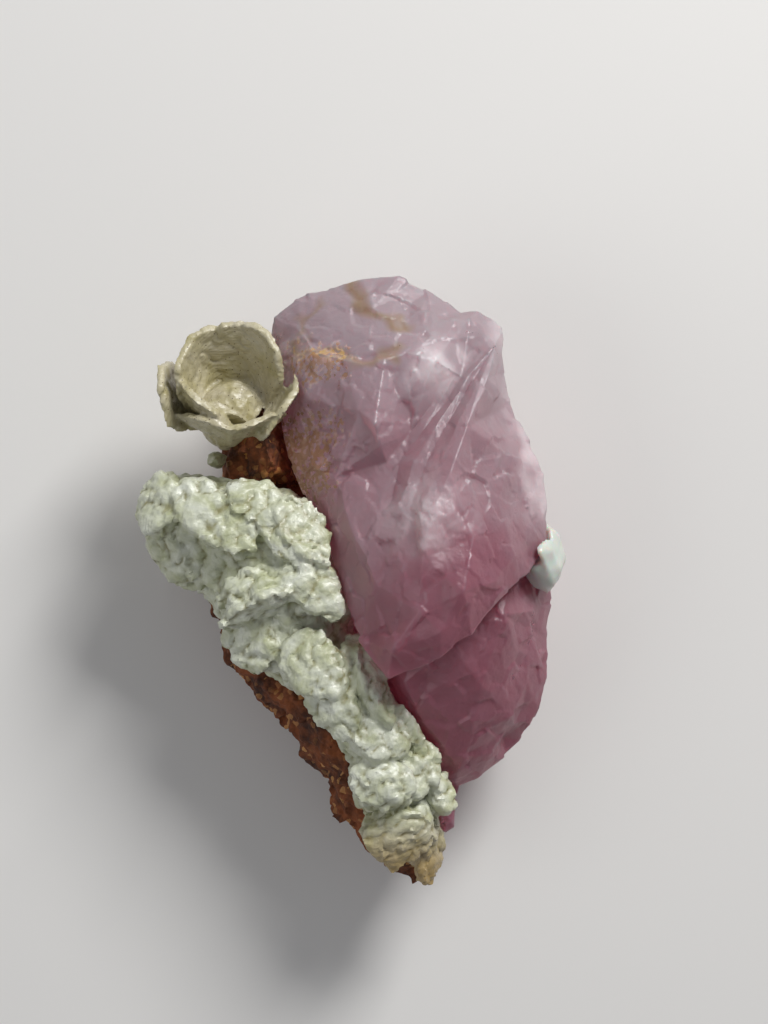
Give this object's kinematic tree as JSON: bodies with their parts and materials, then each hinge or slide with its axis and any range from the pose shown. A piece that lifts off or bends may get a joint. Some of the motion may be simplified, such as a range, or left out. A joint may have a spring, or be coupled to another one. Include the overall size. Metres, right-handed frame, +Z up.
{
  "type": "apatite crystal specimen",
  "caption": "Natural pink apatite crystal grown on silver-green muscovite mica with a rusty rock strip and a cup-shaped mica rosette, lying on its back.",
  "frame": {"origin": "centre of the bounding box's base, on the surface the specimen lies on", "axes": "+Y to the crystal's upper end as pictured, +X to the picture's right, +Z up from the surface towards the viewer"},
  "size_m": [0.0348, 0.05, 0.022],
  "materials": {
    "pink_apatite": "gloss",
    "muscovite": "satin",
    "rusty_rock": "matte",
    "milky_quartz": "satin"
  },
  "bodies": {
    "root": {"apatite_crystal": "pink_apatite", "muscovite_books": "muscovite", "muscovite_rosette": "muscovite", "muscovite_bud": "muscovite", "rusty_matrix": "rusty_rock", "quartz_lump": "milky_quartz"}
  },
  "joints": []
}
